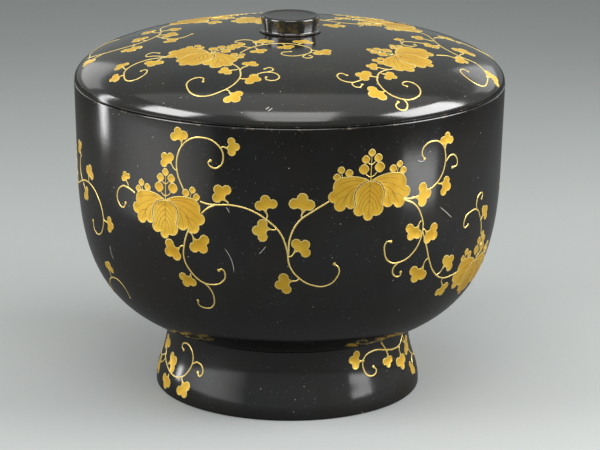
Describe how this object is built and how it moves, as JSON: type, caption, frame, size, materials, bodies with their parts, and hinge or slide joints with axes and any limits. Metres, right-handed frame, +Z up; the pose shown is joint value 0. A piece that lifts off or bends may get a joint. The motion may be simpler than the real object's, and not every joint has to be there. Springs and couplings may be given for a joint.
{
  "type": "lidded lacquer bowl",
  "caption": "Round lidded serving bowl of turned wood in black lacquer, on a flared foot, with a low domed lift-off lid and a disc knob.",
  "frame": {"origin": "on the table, under the middle of the foot", "axes": "+Z up along the bowl's turning axis, -Y towards the side that the picture shows"},
  "size_m": [0.2692, 0.2692, 0.2379],
  "materials": {
    "bowl_lacquer": "polished black lacquer over turned wood, fine scratches and small rubs",
    "lip_lacquer": "satin black lacquer over turned wood",
    "lid_lacquer": "polished black lacquer over turned wood, slightly browner with age",
    "gold_ornament": "sprinkled gold powder in raised lines and leaves"
  },
  "bodies": {
    "bowl": {"bowl_body": "bowl_lacquer", "mouth_ring": "lip_lacquer", "foot_ring": "bowl_lacquer"},
    "lid": {"lid_dome": "lid_lacquer", "lid_knob": "lid_lacquer"}
  },
  "joints": [
    {"name": "lid_lift", "type": "slide", "parent": "bowl", "child": "lid", "axis": [0, 0, 1], "range_m": [0, 0.12]}
  ]
}
